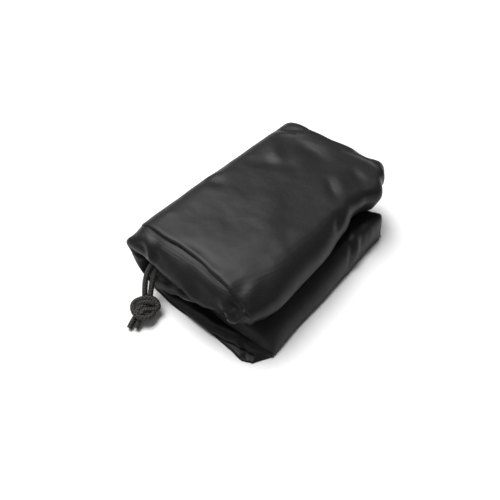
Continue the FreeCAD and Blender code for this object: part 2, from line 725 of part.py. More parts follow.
STRANDS = {
    "drawstring_strand_left": [
        (-45.6, -72.0, 32.6),
        (-45.6, -84.0, 33.0),
        (-45.4, -96.0, 32.4),
        (-44.6, -106.5, 26.0),
        (-42.0, -114.0, 16.0),
        (-38.6, -119.5, 9.0),
    ],
    "drawstring_strand_right": [
        (-40.6, -72.0, 32.6),
        (-40.6, -84.0, 32.8),
        (-40.4, -95.0, 31.6),
        (-38.8, -104.5, 25.0),
        (-36.8, -112.0, 16.0),
        (-33.0, -119.0, 9.5),
    ],
}
TAILS = {
    "drawstring_tail_left": [(-36.0, -127.0, 8.0), (-34.0, -135.0, 5.6), (-30.5, -142.0, 2.7)],
    "drawstring_tail_right": [(-30.6, -127.0, 8.0), (-27.0, -134.5, 5.2), (-22.0, -140.0, 2.7)],
}
KNOT_AT = (-33.5, -124.5)
knot = doc.addObject("Part::Ellipsoid", "drawstring_knot")
knot.setExpression("Radius2", "dims.knot_radius_x")
knot.setExpression("Radius3", "dims.knot_radius_y")
knot.setExpression("Radius1", "dims.knot_radius_z")
knot.Angle1, knot.Angle2, knot.Angle3 = -90, 90, 360
keep(place(knot, f"{KNOT_AT[0]}", f"{KNOT_AT[1]}", "dims.knot_radius_z"), "drawstring_knot")
doc.recompute()
for label, route in {**STRANDS, **TAILS}.items():
    feature(label, tube_route(route, D["cord_diameter"] / 2).cut(knot.Shape))


# ---- Checks and export ----

doc.recompute()
for thing in doc.Objects:
    if "Invalid" in thing.State or "Error" in thing.State:
        raise RuntimeError(f"{thing.Label} failed: {thing.State}")
for thing in pieces:
    if thing.Shape.isNull() or not thing.Shape.isValid() or not thing.Shape.Solids:
        raise RuntimeError(f"{thing.Label} has no valid solid")

os.makedirs("parts", exist_ok=True)
for thing in pieces:
    thing.Shape.exportStep(f"parts/{thing.Label}.step")
print(len(pieces), "sub-parts")
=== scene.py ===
import math

import bmesh
import bpy
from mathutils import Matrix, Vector, kdtree, noise
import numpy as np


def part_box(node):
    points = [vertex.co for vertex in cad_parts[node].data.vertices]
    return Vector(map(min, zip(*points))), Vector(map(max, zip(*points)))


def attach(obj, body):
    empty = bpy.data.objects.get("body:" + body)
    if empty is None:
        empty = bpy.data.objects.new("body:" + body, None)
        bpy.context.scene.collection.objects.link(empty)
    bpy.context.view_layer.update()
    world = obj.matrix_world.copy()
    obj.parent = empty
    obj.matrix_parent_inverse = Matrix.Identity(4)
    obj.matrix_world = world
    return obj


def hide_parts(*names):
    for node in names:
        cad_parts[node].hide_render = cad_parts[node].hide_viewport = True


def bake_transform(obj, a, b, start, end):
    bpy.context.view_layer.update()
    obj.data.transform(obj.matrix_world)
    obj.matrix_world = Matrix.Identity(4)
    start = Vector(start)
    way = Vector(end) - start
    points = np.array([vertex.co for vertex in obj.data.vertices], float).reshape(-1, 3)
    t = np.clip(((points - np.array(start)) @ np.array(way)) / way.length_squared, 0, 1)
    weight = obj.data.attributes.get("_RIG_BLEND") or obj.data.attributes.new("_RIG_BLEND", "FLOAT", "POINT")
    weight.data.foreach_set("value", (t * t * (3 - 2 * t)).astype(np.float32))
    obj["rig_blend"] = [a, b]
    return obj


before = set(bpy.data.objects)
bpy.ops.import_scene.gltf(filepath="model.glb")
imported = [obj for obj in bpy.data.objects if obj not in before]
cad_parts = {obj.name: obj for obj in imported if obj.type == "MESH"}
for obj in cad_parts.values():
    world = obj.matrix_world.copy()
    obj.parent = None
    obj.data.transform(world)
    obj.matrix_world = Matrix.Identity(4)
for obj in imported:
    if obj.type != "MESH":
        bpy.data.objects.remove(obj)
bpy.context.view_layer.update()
mm = 0.001


def hexColour(text):  # an sRGB hex colour as linear RGBA
    parts = [int(text[i:i + 2], 16) / 255 for i in (0, 2, 4)]
    return [c / 12.92 if c <= 0.04045 else ((c + 0.055) / 1.055) ** 2.4 for c in parts] + [1.0]


def smooth(low, high, x):
    t = min(1.0, max(0.0, (x - low) / (high - low)))
    return t * t * (3 - 2 * t)


def mix(a, b, t):
    return a + (b - a) * t


def along(points, x):  # smooth reading of a short list of (place, value)
    if x <= points[0][0]:
        return points[0][1]
    for (x0, y0), (x1, y1) in zip(points, points[1:]):
        if x <= x1:
            return mix(y0, y1, smooth(x0, x1, x)) if x1 > x0 else y1
    return points[-1][1]


def addObject(name, data):
    made = bpy.data.objects.new(name, data)
    bpy.context.collection.objects.link(made)
    return made


# the pouch's own sizes, all read off the frame, in millimetres
spineLow, spineHigh = (Vector(c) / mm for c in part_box("outer_panel_spine"))
foldX = spineHigh.x
mouthY = spineLow.y
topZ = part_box("outer_panel_upper")[1][2] / mm
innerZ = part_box("inner_panel_upper")[0][2] / mm
foldZ = topZ / 2
halfThick = topZ - innerZ

# the pouch's skin is one bent, stuffed slab, open at its mouth
pouch = dict(
    alongCuts=84,      # rows from the mouth to the closed end
    flatCuts=60,       # columns on each half
    bendCuts=32,       # columns round the fold
    thickCuts=8,
    clothThick=0.5,
    clothGap=3.0,      # how thick the empty cloth of the lower half's rim is
    rowCrowd=1.15,     # rows and columns crowd towards the closed end and the free edges
    columnCrowd=1.35,
    # x of each free edge, by y
    upperEdge=[(-88, 54.5), (-74, 59), (-62, 60.5), (-10, 59), (27, 54.5), (46, 50.5), (58, 52), (74, 58.5),
               (90, 49.5), (107, 41)],
    lowerEdge=[(-87, 72), (-50, 70), (20, 69), (50, 67), (80, 67)],
    farY=(75, 95),     # roughly where the lower and the upper half end
    # height of the upper free edge over the inner skin and how far in its rounding reaches, by y
    upperRim=[(-88, 6), (-60, 4), (-20, 4), (27, 8), (55, 15), (103, 15)],
    upperReach=[(-88, 30), (-10, 26), (40, 12), (103, 9)],
    undercut=0.35,     # how far the free edge's wall leans in below, of the rim's height
    # y of each closed end and of each start of the body, by x
    upperEnd=[(-72, 99), (-60, 102), (-45, 102), (-21, 104), (6, 107), (24, 105.5), (36, 107), (60, 107)],
    lowerEnd=[(-72, 80), (0, 79), (50, 79), (60, 82), (70, 72)],
    upperStart=[(-72, -87), (-57, -86), (-43, -85), (-20, -82.5), (-5, -82.5), (17, -85), (40, -87),
                (62, -89)],
    lowerStart=[(-72, -86), (-43, -88), (25, -90.5), (46, -89), (60, -87), (72, -84)],
    # the stuffing stops short of the mouth: how far the top drops and how high the lower half still is, by x
    upperMouthDrop=[(-72, 0.5), (-57, 0.5), (17, 0.5), (28, 1.5), (40, 4), (50, 5), (60, 2)],
    lowerMouthTop=[(-43, 24), (-26, 14), (40, 12.5), (58, 12), (72, 9)],
    dropLength=40,     # the upper half is full height this far in from its mouth
    mouthLength=17,    # and the lower half this far
)


def edgeCrown(distance, reach, power):  # height of a stuffed edge, 0 at the rim and 1 at the top
    t = min(1.0, max(0.0, distance / reach))
    return (1 - (1 - t) ** power) ** (1 / power)


def nearMouth(y):  # 1 at the mouth, 0 where the upper half is full
    return 1 - smooth(mouthY, mouthY + pouch["dropLength"], y)


# a runs from the fold to the free edge, b from the mouth to the closed end,
# and c from the inner to the outer skin
def halfShape(side, a, b, c):
    upper = side > 0
    edge, end, start = (pouch[("upper" if upper else "lower") + part] for part in ("Edge", "End", "Start"))
    x = mix(foldX, along(edge, mix(mouthY, pouch["farY"][upper], b)), a)
    y = mix(along(start, x), along(end, x), b)
    x = mix(foldX, along(edge, y), a)
    y = mix(along(start, x), along(end, x), b)
    toEdge, toEnd = along(edge, y) - x, along(end, x) - y
    if upper:
        rim = along(pouch["upperRim"], y)
        rise = edgeCrown(toEdge, along(pouch["upperReach"], y), 2.3) * edgeCrown(toEnd, 8, 2.4)
        drop = along(pouch["upperMouthDrop"], x) * nearMouth(y) * rise
        x -= pouch["undercut"] * rim * (1 - c) / 2 * smooth(0.8, 1, a)
        top = innerZ + rim + (halfThick - rim) * rise - drop
        return x, y, mix(innerZ, top, (c + 1) / 2)
    corner = smooth(-60, 75, y)
    rise = edgeCrown(toEdge, mix(30, 7, corner), 2.0) * edgeCrown(toEnd, 7, 2.4)
    mouthRise = edgeCrown(y - along(start, x), pouch["mouthLength"], 2.0)
    top = mix(along(pouch["lowerMouthTop"], x), halfThick, mouthRise)
    top = mix(pouch["clothGap"], top, rise)
    return x, y, mix(top, 0.0, (c + 1) / 2)


def foldRadius(t):  # the outer skin round the fold is boxier above than below
    power = mix(2.1, 3.5, smooth(0.45, 0.7, t))
    s, c = abs(math.sin(math.pi * t)), abs(math.cos(math.pi * t))
    return foldZ / (s ** power + c ** power) ** (1 / power)


def bendShape(t, b, c):  # t from 0 under the fold to 1 above it
    low, high = halfShape(-1, 0, b, c), halfShape(1, 0, b, c)
    y = mix(low[1], high[1], smooth(0, 0.8, t))
    end = mix(along(pouch["lowerEnd"], foldX), along(pouch["upperEnd"], foldX), smooth(0, 0.8, t))
    fall = 1 - edgeCrown(end - y, 8, 2.4)
    outer, inner = foldRadius(t), foldZ - halfThick
    angle = math.pi * t
    drop = along(pouch["upperMouthDrop"], foldX - outer * math.sin(angle))
    outer -= drop * nearMouth(y) * smooth(0.4, 0.8, t)
    middle = (outer + inner) / 2
    radius = middle + c * (outer - inner) / 2 * (1 - 0.6 * fall)
    point = Vector((foldX - radius * math.sin(angle), y, foldZ - radius * math.cos(angle)))
    if t < 0.5:  # towards the mouth the inner skin sinks with the lower half
        sink = low[2] - mix(halfThick, 0, (c + 1) / 2)
        point.z += sink * (1 - smooth(0, 0.5, t))
    return point


def buildPouch():
    bm = bmesh.new()
    bmesh.ops.create_cube(bm, size=2)
    columns = 2 * pouch["flatCuts"] + pouch["bendCuts"]
    for axis, cuts in ((0, columns - 1), (1, pouch["alongCuts"] - 1), (2, pouch["thickCuts"] - 1)):
        lines = [e for e in bm.edges if abs((e.verts[0].co - e.verts[1].co)[axis]) > 1e-4]
        bmesh.ops.subdivide_edges(bm, edges=lines, cuts=cuts, use_grid_fill=True)
    mouth = [f for f in bm.faces if f.calc_center_median().y < -0.9999]
    bmesh.ops.delete(bm, geom=mouth, context="FACES_ONLY")
    bmesh.ops.delete(bm, geom=[e for e in bm.edges if not e.link_faces], context="EDGES")
    bmesh.ops.delete(bm, geom=[v for v in bm.verts if not v.link_edges], context="VERTS")
    flatShare = pouch["flatCuts"] / columns
    station = bm.verts.layers.float.new("station")
    depth = bm.verts.layers.float.new("depth")
    wall = bm.verts.layers.float.new("wall")
    bm.verts.layers.float_vector.new("away")
    for v in bm.verts:
        v[wall] = 1 if abs(v.co.x) > 0.9999 or v.co.y > 0.9999 else 0
        share = (v.co.x + 1) / 2
        b = 1 - (1 - (v.co.y + 1) / 2) ** pouch["rowCrowd"]
        c = v.co.z
        if share < flatShare - 1e-6:
            a = 1 - share / flatShare
            where = -1 - a
            place = halfShape(-1, 1 - (1 - a) ** pouch["columnCrowd"], b, c)
        elif share > 1 - flatShare + 1e-6:
            a = (share - 1 + flatShare) / flatShare
            where = 1 + a
            place = halfShape(1, 1 - (1 - a) ** pouch["columnCrowd"], b, c)
        else:
            t = (share - flatShare) / (1 - 2 * flatShare)
            where = 2 * t - 1
            place = bendShape(t, b, c)
        v[station] = where  # -2 lower free edge, -1 to 1 round the fold, 2 upper free edge
        v[depth] = c
        v.co = place
    return bm, station, depth


# the casing at the mouth: where its lip lies, as (x, y, z) along each half and round the fold,
# and how it rolls from the body's edge to that lip (share of the way out, share of the way down)
casing = dict(
    upperOuter=[(-43, -101, 40), (-30, -102.5, 39), (-10, -103.5, 38), (14, -103.5, 36), (29, -100, 37.5),
                (39, -98.5, 36.5), (45, -97.5, 35.5), (48.5, -91, 38)],
    upperInner=[(-40, -103, 6), (-29, -102, 10), (-10, -101.5, 20), (12, -101.5, 31), (29, -98, 35),
                (40, -96, 34), (45, -95, 33.5), (48, -91, 36)],
    lowerOuter=[(-43, -102.5, 0.6), (-23, -103.6, 0.6), (14, -101.5, 0.6), (43, -101.5, 0.6),
                (56, -102.5, 0.6), (63.5, -99, 0.8)],
    lowerInner=[(-40, -103, 6), (5, -104, 6), (19, -103.5, 6), (33, -100.5, 6), (46, -96.5, 5.5),
                (62, -93, 4)],
    # round the fold: distance from its axis, by station
    foldOuter=[(-1, 26), (-0.6, 21.5), (-0.2, 22.5), (0.14, 24), (0.29, 31), (0.5, 25), (1, 12)],
    foldBulge=(0.3, 0.25, 2),        # station, half width and depth of the lip's bulge at the fold
    foldInner=(-40, -103, 6),
    roll=[(0.05, 0.05), (0.06, 0.12), (-0.02, 0.17), (0.03, 0.19), (0.2, 0.24), (0.4, 0.34), (0.6, 0.48),
          (0.78, 0.66), (0.92, 0.85), (1.0, 1.0)],
    # back inside: how far out, how far apart the two skins are
    inside=[(0.97, 0.75), (0.9, 0.5), (0.6, 0.3), (0.2, 0.2)],
)


def reading(points, share):  # a smooth reading of (x, y, z) places by their share of the way along x
    low, high = points[0][0], points[-1][0]
    x = mix(low, high, share)
    return Vector((x, along([(p[0], p[1]) for p in points], x), along([(p[0], p[2]) for p in points], x)))


def lipPlace(where, share, c):
    upper, lower = casing["upperOuter"], casing["lowerOuter"]
    if where > 1:
        outer, inner = reading(upper, share), reading(casing["upperInner"], share)
    elif where < -1:
        outer, inner = reading(lower, share), reading(casing["lowerInner"], share)
    else:
        angle = math.pi * (where + 1) / 2
        radius = along(casing["foldOuter"], where)
        at, width, deep = casing["foldBulge"]
        bulge = deep * math.exp(-((where - at) / width) ** 2)
        y = mix(lower[0][1], upper[0][1], smooth(-1, 1, where)) - bulge
        outer = Vector((foldX - radius * math.sin(angle), y, foldZ - radius * math.cos(angle)))
        if where > at:
            outer.z = mix(outer.z, upper[0][2], smooth(at, 1, where))
        inner = Vector(casing["foldInner"]) + Vector((-2.5 * math.sin(angle), 0, 0.5 * where))
    return inner.lerp(outer, (c + 1) / 2)


def addCasing(bm, station, depth):
    rim = [e for e in bm.edges if e.is_boundary]
    base = {v: (v.co.copy(), v[station], v[depth]) for e in rim for v in e.verts}
    for step in casing["roll"] + casing["inside"]:
        made = bmesh.ops.extrude_edge_only(bm, edges=rim)["geom"]
        rim = [g for g in made if isinstance(g, bmesh.types.BMEdge)]
        fresh = [g for g in made if isinstance(g, bmesh.types.BMVert)]
        before = {v: next(e.other_vert(v) for e in v.link_edges if e.other_vert(v) in base) for v in fresh}
        base = {v: base[before[v]] for v in fresh}
        for v in fresh:
            start, where, c = base[v]
            share = 1 - (2 - abs(where)) ** pouch["columnCrowd"] if abs(where) > 1 else 0
            out, down = step
            if step in casing["inside"]:
                v.co = lipPlace(where, share, c * down)
                v.co.y = mix(start.y, v.co.y, out)
            else:
                lip = lipPlace(where, share, c)
                v.co = (mix(start.x, lip.x, max(0, out)), mix(start.y, lip.y, out), mix(start.z, lip.z, down))


# folds and dents pressed into the cloth: where each runs, its half width and its height, minus for a valley
creases = [
    ([(-59, 74, 57), (-47, 80, 58), (-34, 93, 58)], 2.2, 1.3),        # far left corner, pulled tight
    ([(-64, 80, 52), (-54, 84, 57), (-42, 91, 57)], 3.0, -1.3),
    ([(3, 95, 58), (20, 96, 58), (31, 98, 58), (43, 94, 54)], 2.2, 1.3),
    ([(10, 101, 55), (26, 101, 55)], 2.5, -1.6),
    ([(-35, 73, 58), (-17, 75, 58), (-4, 70, 58)], 9, -2.0),          # soft dents over the folded bag
    ([(-57, 64, 58), (-38, 48, 58), (-27, 40, 58)], 6, 1.2),
    ([(-50, 26, 58), (-34, 36, 58), (-18, 44, 58)], 7, -1.5),
    ([(-60, -17, 57), (-50, -12, 58)], 5, -1.4),
    ([(-66, -18, 54), (-55, 3, 57)], 4, 0.9),
    ([(16, 51, 58), (25, 44, 58), (33, 39, 58)], 3.5, -1.1),
    ([(20, 60, 58), (32, 52, 58)], 5, 0.9),
    ([(28, 76, 58), (39, 67, 57)], 5, -1.4),
    ([(47, 27, 57), (56, 17, 52)], 4, -2.2),
    ([(24, -66, 58), (16, -28, 58), (-3, 0, 58)], 12, 1.2),
    ([(-56, -75, 57), (-58, -68, 57), (-52, -61, 58)], 1.6, 0.5),
    ([(50, -85, 49), (45, -79, 53), (40, -71, 56)], 5.5, 1.3),        # full over the folded bag's corner
    ([(-25, -80, 57), (-10, -77, 57), (12, -79, 57)], 2.5, -0.8),     # the hem behind the mouth step
    ([(-71, -99, 43), (-62, -97, 47), (-52, -94, 50), (-40, -93, 50), (-26, -93, 50)], 2.4, 2.6),
    # the casing: fanned folds at its left end, long slack ones along it and a pleat at its right end
    ([(-64, -100, 45), (-56, -99, 46), (-47, -100, 44)], 2.8, -3.0),
    ([(-43, -96, 49), (-36, -97, 47), (-28, -98, 46)], 2.8, -3.4),
    ([(-52, -95, 49), (-46, -99, 46), (-41, -102, 40)], 2.4, 2.8),
    ([(-34, -93, 47), (-30, -99, 43), (-25, -103, 39)], 3.0, 0.8),
    ([(-16, -99, 43), (7, -98, 43), (22, -96, 43), (31, -94, 44)], 2.6, -0.9),
    ([(-10, -93, 50), (8, -91, 50), (24, -90, 50)], 3.5, 0.9),
    ([(-24, -96, 48), (-8, -100, 43), (8, -102, 37)], 3.2, 1.8),
    ([(-6, -94, 48), (8, -97, 44), (24, -99, 39)], 3.0, -2.2),
    ([(29, -95, 47), (36, -97, 43), (42, -99, 37)], 2.0, 3.8),
    ([(26, -98, 43), (32, -99, 40), (37, -100, 37)], 2.2, -4.2),
    ([(37, -92, 48), (43, -93, 45), (47, -94, 42)], 1.8, -3.8),
    ([(45, -98, 38), (47, -94, 43), (49, -90, 47)], 1.8, 1.4),
    ([(49, 43, 27), (59, 37, 22), (69, 33, 14)], 2.6, 1.4),           # lower half, towards its far end
    ([(50, 35, 27), (60, 29, 22), (68, 22, 12)], 2.6, -1.4),
    ([(54, 51, 26), (64, 43, 18)], 2.4, -1.2),
    ([(56, 60, 26), (66, 56, 16)], 3.0, 0.9),
    ([(48, -93, 7), (54, -98, 4), (58, -103, 1)], 1.6, -2.0),         # pleat at the lower casing's end
    ([(50, -92, 9), (58, -92, 8), (65, -90, 7)], 1.8, 1.2),
    ([(0, -97, 9), (20, -97, 9), (40, -93, 9)], 2.5, 0.8),
]


def pressCreases(bm):
    bm.normal_update()
    cloth = kdtree.KDTree(len(bm.verts))
    for v in bm.verts:
        cloth.insert(v.co, v.index)
    cloth.balance()
    moved = {}
    for line, width, height in creases:
        line = [cloth.find(p)[0] for p in line]    # a crease lies on the cloth
        fade = 3 * width
        middle = sum(line, Vector()) / len(line)
        reach = max((p - middle).length for p in line) + fade
        spans = list(zip(line, line[1:]))
        whole = sum((b - a).length for a, b in spans)
        for v in bm.verts:
            if (v.co - middle).length > reach:
                continue
            best, gone = None, 0.0
            for a, b in spans:
                t = min(1.0, max(0.0, (v.co - a).dot(b - a) / (b - a).length_squared))
                away = (v.co - a.lerp(b, t)).length
                if best is None or away < best[0]:
                    best = (away, (gone + t * (b - a).length) / whole)
                gone += (b - a).length
            away, share = best
            if away < fade:
                ends = math.sin(math.pi * mix(0.12, 0.88, share)) ** 0.7    # it dies out towards both ends
                moved[v] = moved.get(v, 0.0) + height * ends * math.exp(-((away / width) ** 2))
    for v, height in moved.items():
        v.co += v.normal * height


slackCloth = dict(     # the cloth's unevenness between the creases
    broadSize=34,
    broadHeight=0.9,
    fineSize=(15, 9, 12),
    fineHeight=0.25,
)


def rumple(bm):
    bm.normal_update()
    for v in bm.verts:
        broad = noise.noise(v.co / slackCloth["broadSize"] + Vector((3, 1, 0)))
        fine = noise.noise(Vector([place / size for place, size in zip(v.co, slackCloth["fineSize"])]))
        v.co += v.normal * (broad * slackCloth["broadHeight"] + fine * slackCloth["fineHeight"])


def cutOut(source, name, low, high, body):  # the skin's faces between two stations, as a piece of its own
    bm = source.copy()
    station = bm.verts.layers.float["station"]
    extra = [f for f in bm.faces if not all(low - 1e-4 <= v[station] <= high + 1e-4 for v in f.verts)]
    bmesh.ops.delete(bm, geom=extra, context="FACES")
    for e in bm.edges:
        e.smooth = not e.is_boundary
    for f in bm.faces:
        f.smooth = True
    mesh = bpy.data.meshes.new(name)
    bm.to_mesh(mesh)
    bm.free()
    made = addObject(name, mesh)
    wall = made.modifiers.new("clothThickness", "SOLIDIFY")
    wall.thickness = pouch["clothThick"] * mm
    wall.offset = -1
    if body:
        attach(made, body)
    print(name, len(mesh.vertices))
    return made


seam = dict(
    tuck=0.6,          # how far it starts inside the skin
    lip=1.1,           # how far the two cloth edges stand out of the stitching
    thick=0.8,
    upperLevel=0.75,   # where it sits on the side wall, -1 at the inner skin to 1 at the outer one
    lowerLevel=0.25,
    lastStation=1.97,  # it ends just short of the closed end's corner
    steps=3,           # rows of faces across it
    waver=0.35,
    waverLength=14,
)


def seamStrip(source, name, side, level, body):  # the bound edges that a side seam sews together
    bm = source.copy()
    bm.normal_update()
    station, depth, wall = (bm.verts.layers.float[k] for k in ("station", "depth", "wall"))
    away = bm.verts.layers.float_vector["away"]
    onSeam = {v for v in bm.verts if v[wall] > 0.5 and abs(v[depth] - level) < 1e-3
              and 1 <= side * v[station] <= seam["lastStation"]}
    for v in onSeam:
        v[away] = Vector((v.normal.x, v.normal.y, 0)).normalized()
        v.co -= v[away] * seam["tuck"] * mm
    line = [e for e in bm.edges if e.verts[0] in onSeam and e.verts[1] in onSeam]
    bmesh.ops.delete(bm, geom=list(bm.faces), context="FACES_ONLY")
    bmesh.ops.delete(bm, geom=[e for e in bm.edges if e not in line], context="EDGES")
    bmesh.ops.delete(bm, geom=[v for v in bm.verts if not v.link_edges], context="VERTS")
    for step in range(seam["steps"]):
        made = bmesh.ops.extrude_edge_only(bm, edges=line)["geom"]
        line = [g for g in made if isinstance(g, bmesh.types.BMEdge)]
        for v in [g for g in made if isinstance(g, bmesh.types.BMVert)]:
            v.co += v[away] * (seam["tuck"] + seam["lip"]) / seam["steps"] * mm
            lift = step / (seam["steps"] - 1) * noise.noise(v.co / mm / seam["waverLength"])
            v.co.z += seam["waver"] * lift * mm
    bmesh.ops.recalc_face_normals(bm, faces=bm.faces)
    for f in bm.faces:
        f.smooth = True
    mesh = bpy.data.meshes.new(name)
    bm.to_mesh(mesh)
    bm.free()
    made = addObject(name, mesh)
    twoEdges = made.modifiers.new("twoEdges", "SOLIDIFY")
    twoEdges.thickness = seam["thick"] * mm
    twoEdges.offset = 0
    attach(made, body)
    return made


bm, station, depth = buildPouch()
addCasing(bm, station, depth)
bmesh.ops.recalc_face_normals(bm, faces=bm.faces)
rumple(bm)
pressCreases(bm)
# ease the creases everywhere but at the mouth's step, and twice more over the folded bag's corner
slack = [v for v in bm.verts if v.co.y > mouthY + 2 or (v.co.z > 30 and v.co.y < mouthY - 4)]
corner = [v for v in bm.verts if v.co.x > 40 and -90 < v.co.y < -66 and v.co.z > 34]
for part in (slack, corner, corner):
    bmesh.ops.smooth_vert(bm, verts=part, factor=0.5, use_axis_x=True, use_axis_y=True, use_axis_z=True)
floorGap = 0.1
for v in bm.verts:
    v.co.z = max(v.co.z, floorGap)
    v.co *= mm
lowerSkin = cutOut(bm, "pouchLower", -2, -1, "lower_half")
upperSkin = cutOut(bm, "pouchUpper", 1, 2, "upper_half")
spineSkin = cutOut(bm, "pouchSpine", -1, 1, None)
lowerSeam = seamStrip(bm, "sideSeamLower", -1, seam["lowerLevel"], "lower_half")
upperSeam = seamStrip(bm, "sideSeamUpper", 1, seam["upperLevel"], "upper_half")
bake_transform(spineSkin, "lower_half", "upper_half", start=(foldX * mm, 0, 0), end=(foldX * mm, 0, topZ * mm))
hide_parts("outer_panel_lower", "inner_panel_lower", "outer_casing_lower", "inner_casing_lower",
            "casing_end_lower", "drawstring_run_lower")
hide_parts("outer_panel_upper", "inner_panel_upper", "outer_casing_upper", "inner_casing_upper",
            "casing_end_upper", "drawstring_run_upper")
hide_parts("outer_panel_spine", "inner_panel_spine", "outer_casing_spine", "drawstring_run_spine")
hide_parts("side_seam_lower")
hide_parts("side_seam_upper")
bm.free()

# the folded bag's own turn of cloth and lining bends with the pouch, so each is a piece of its own
chamberTurns = dict(
    chamber_cloth_spine=("chamberClothTurn", "bag_cloth"),
    chamber_lining_spine=("chamberLiningTurn", "lining_cloth"),
)
turns = {}
for name, (title, kind) in chamberTurns.items():
    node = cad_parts[name]
    mesh = node.data.copy()
    mesh.transform(node.matrix_world)
    turns[name] = addObject(title, mesh)
    levels = [v.co.z for v in mesh.vertices]
    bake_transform(turns[name], "lower_half", "upper_half",
             start=(foldX * mm, 0, min(levels)), end=(foldX * mm, 0, max(levels)))
    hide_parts(name)

# the drawstring: two strands, the overhand knot that ties them and its two tails, as (x, y, z) points
drawstring = dict(
    diameter=4.5,
    leftLength=58.2,
    rightLength=56.6,
    left=[(-45.6, -72, 32.6), (-45.6, -84, 33.0), (-45.4, -96, 32.4), (-44.2, -106.5, 26.0),
          (-41.0, -113, 17), (-36.6, -118.0, 10.0)],
    right=[(-40.6, -72, 32.6), (-40.6, -84, 32.8), (-40.6, -95, 31.4), (-39.2, -104, 24.5),
           (-36.2, -110.5, 16), (-32.0, -117, 10)],
    tailLeft=[(-33.5, -125.5, 6.5), (-32.0, -134, 5.0), (-29.0, -142, 2.6)],
    tailRight=[(-29.4, -125.5, 7.0), (-27.0, -132.5, 5.6), (-24.6, -138.5, 3.4)],
)


def cordCurve(name, route, radius, body):
    data = bpy.data.curves.new(name, "CURVE")
    data.dimensions = "3D"
    line = data.splines.new("NURBS")
    line.points.add(len(route) - 1)
    for point, place in zip(line.points, route):
        point.co = (*(Vector(place) * mm), 1)
        point.radius = radius * mm    # the points carry the size, so that the curve's box is its real one
    line.order_u = 3
    line.use_endpoint_u = True
    line.resolution_u = 12
    data.bevel_depth = 1
    data.bevel_resolution = 6
    data.use_fill_caps = True
    made = addObject(name, data)
    if body:
        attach(made, body)
    return made


knot = dict(
    middle=(-31.0, -122.5, 7.6),
    tie=4.4,           # the two cords of the knot, centre to centre
    swell=1.06,        # cord in a knot is squeezed a little thicker
    facing=42,         # degrees the knot is turned about the upright
    # one overhand turn, as (right, away, up) from the middle
    way=[(-1.0, 8.0, 2.0), (-1.4, 3.6, 0.0), (2.2, -1.8, -0.4), (6.0, -6.4, 0.0), (1.0, -9.6, 1.2),
         (-6.6, -5.6, 2.4), (-8.4, 1.6, 3.4), (-1.6, 3.8, 5.2), (6.6, 4.4, 4.2), (9.6, 0.0, 0.0),
         (3.6, -1.2, 1.4), (-2.6, -3.2, 4.6), (-5.4, -9.0, 0.8)],
)


def knotRoute(side):  # one of the knot's two cords, a cord's width beside the other
    turn = math.radians(knot["facing"])
    right = Vector((math.cos(turn), math.sin(turn), 0))
    away = Vector((-math.sin(turn), math.cos(turn), 0))
    way = [Vector(p) for p in knot["way"]]
    places = []
    for k, point in enumerate(way):
        run = way[min(k + 1, len(way) - 1)] - way[max(k - 1, 0)]
        beside = Vector((run.y, -run.x, 0)).normalized() * knot["tie"] / 2 * side
        u, v, w = point + beside
        places.append(Vector(knot["middle"]) + right * u + away * v + Vector((0, 0, w)))
    return places


def asMesh(curveObject):  # a curve's tube as a mesh, keeping its UV map
    mesh = bpy.data.meshes.new_from_object(curveObject)
    bpy.data.objects.remove(curveObject)
    return mesh


cordRadius = drawstring["diameter"] / 2
strandLeft = cordCurve("drawstringLeft", drawstring["left"], cordRadius, "drawstring")
strandRight = cordCurve("drawstringRight", drawstring["right"], cordRadius, "drawstring")
tailLeft = cordCurve("tailLeft", drawstring["tailLeft"], cordRadius, "drawstring")
tailRight = cordCurve("tailRight", drawstring["tailRight"], cordRadius, "drawstring")
knotMesh = bpy.data.meshes.new("drawstringKnot")
bm = bmesh.new()
for side in (-1, 1):
    bm.from_mesh(asMesh(cordCurve("knotCord", knotRoute(side), cordRadius * knot["swell"], None)))
bm.to_mesh(knotMesh)
bm.free()
for p in knotMesh.polygons:
    p.use_smooth = True
knotPiece = addObject("drawstringKnot", knotMesh)
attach(knotPiece, "drawstring")
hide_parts("drawstring_strand_left")
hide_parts("drawstring_strand_right")
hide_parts("drawstring_tail_left")
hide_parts("drawstring_tail_right")
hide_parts("drawstring_knot")
print("drawstring", len(knotMesh.vertices))


def addNode(tree, kind, settings=None, links=None):  # inputs are named, or numbered where names repeat
    node = tree.nodes.new(kind)
    for name, value in (settings or {}).items():
        if name == "shades":
            for element, (place, shade) in zip(node.color_ramp.elements, value):
                element.position = place
                element.color = hexColour(shade)
        elif isinstance(name, int) or name in node.inputs:
            node.inputs[name].default_value = value
        else:
            setattr(node, name, value)
    for name, socket in (links or {}).items():
        tree.links.new(socket, node.inputs[name])
    return node


def newMaterial(name):
    made = bpy.data.materials.new(name)
    made.use_nodes = True
    return made, made.node_tree, made.node_tree.nodes["Principled BSDF"]


taffeta = dict(
    shades=[(0.3, "151414"), (0.7, "201f1f")],
    threadPitch=1.1,       # four times as coarse as the real 0.28 mm threads, which are too fine to show
    weaveHeight=0.12,
    slubHeight=0.15,
    rumpleHeight=1.6,
)

